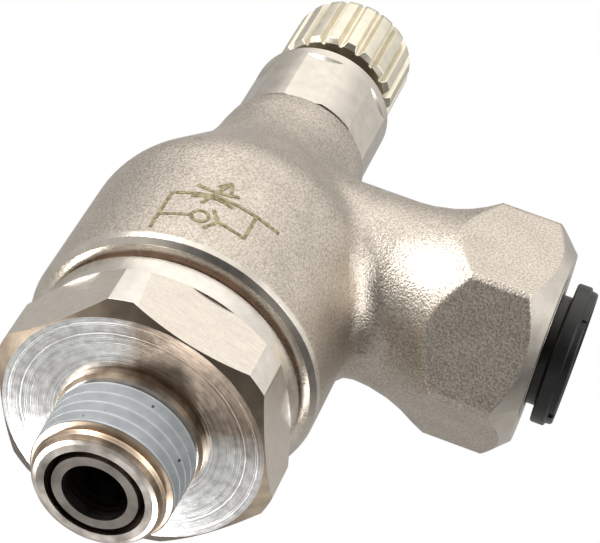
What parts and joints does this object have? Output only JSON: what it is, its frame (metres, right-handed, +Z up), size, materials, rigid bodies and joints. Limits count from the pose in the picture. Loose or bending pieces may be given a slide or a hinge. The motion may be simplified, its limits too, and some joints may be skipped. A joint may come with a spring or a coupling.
{
  "type": "flow control valve",
  "caption": "Elbow flow control valve: tapered male port and hexagon, swivelling body with a push-in tube arm, and a knurled needle adjusting knob on top.",
  "frame": {"origin": "centre of the hexagon's lower face, on the main axis", "axes": "+Z up the main axis from the male port to the knob; +X along the tube arm at rest, toward the release button"},
  "size_m": [0.0367, 0.0216, 0.0565],
  "materials": {
    "turned_nickel": "nickel-plated brass, satin turned",
    "blasted_nickel": "nickel-plated brass, fine sandblasted",
    "satin_nickel": "nickel-plated brass, smooth satin",
    "knob_nickel": "nickel-plated brass, warm satin",
    "bare_brass": "bare turned brass, brown tinge",
    "thread_coat": "dried grey-blue thread sealant, matte",
    "black_plastic": "moulded acetal, satin",
    "nitrile": "moulded nitrile rubber",
    "white_ptfe": "natural PTFE",
    "stainless": "stainless spring steel"
  },
  "bodies": {
    "port_base": {"threaded_base": "turned_nickel", "thread_sealant": "thread_coat", "seat_tube": "bare_brass", "thrust_washer": "white_ptfe", "base_o_ring": "nitrile", "retaining_ring": "stainless", "lip_seal": "nitrile", "seal_washer": "stainless"},
    "banjo_body": {"valve_body": "blasted_nickel", "gland_bush": "satin_nickel", "bush_gasket": "nitrile", "tube_seal": "nitrile", "seal_spacer": "white_ptfe", "gripping_ring": "stainless", "grip_support": "bare_brass", "socket_sleeve": "satin_nickel"},
    "screw_carrier": {"needle_o_ring": "nitrile", "needle_backup_ring": "white_ptfe"},
    "adjusting_screw": {"needle_spindle": "bare_brass", "stop_collar": "stainless", "adjusting_knob": "knob_nickel", "knob_pin": "stainless"},
    "button": {"release_button": "black_plastic"}
  },
  "joints": [
    {"name": "body_swivel", "type": "hinge", "parent": "port_base", "child": "banjo_body", "pos_m": [0, 0, 0.01], "axis": [0, 0, 1], "continuous": true},
    {"name": "screw_lift", "type": "slide", "parent": "banjo_body", "child": "screw_carrier", "axis": [0, 0, 1], "range_m": [-0.0015, 0.0035]},
    {"name": "knob_turn", "type": "hinge", "parent": "screw_carrier", "child": "adjusting_screw", "pos_m": [0, 0, 0.04], "axis": [0, 0, 1], "range_deg": [-1080, 2520]},
    {"name": "button_press", "type": "slide", "parent": "banjo_body", "child": "button", "axis": [-1, 0, 0], "range_m": [0, 0.0007]}
  ],
  "couplings": [
    {"joint": "knob_turn", "follows": "screw_lift", "rad_per_m": 12566}
  ]
}
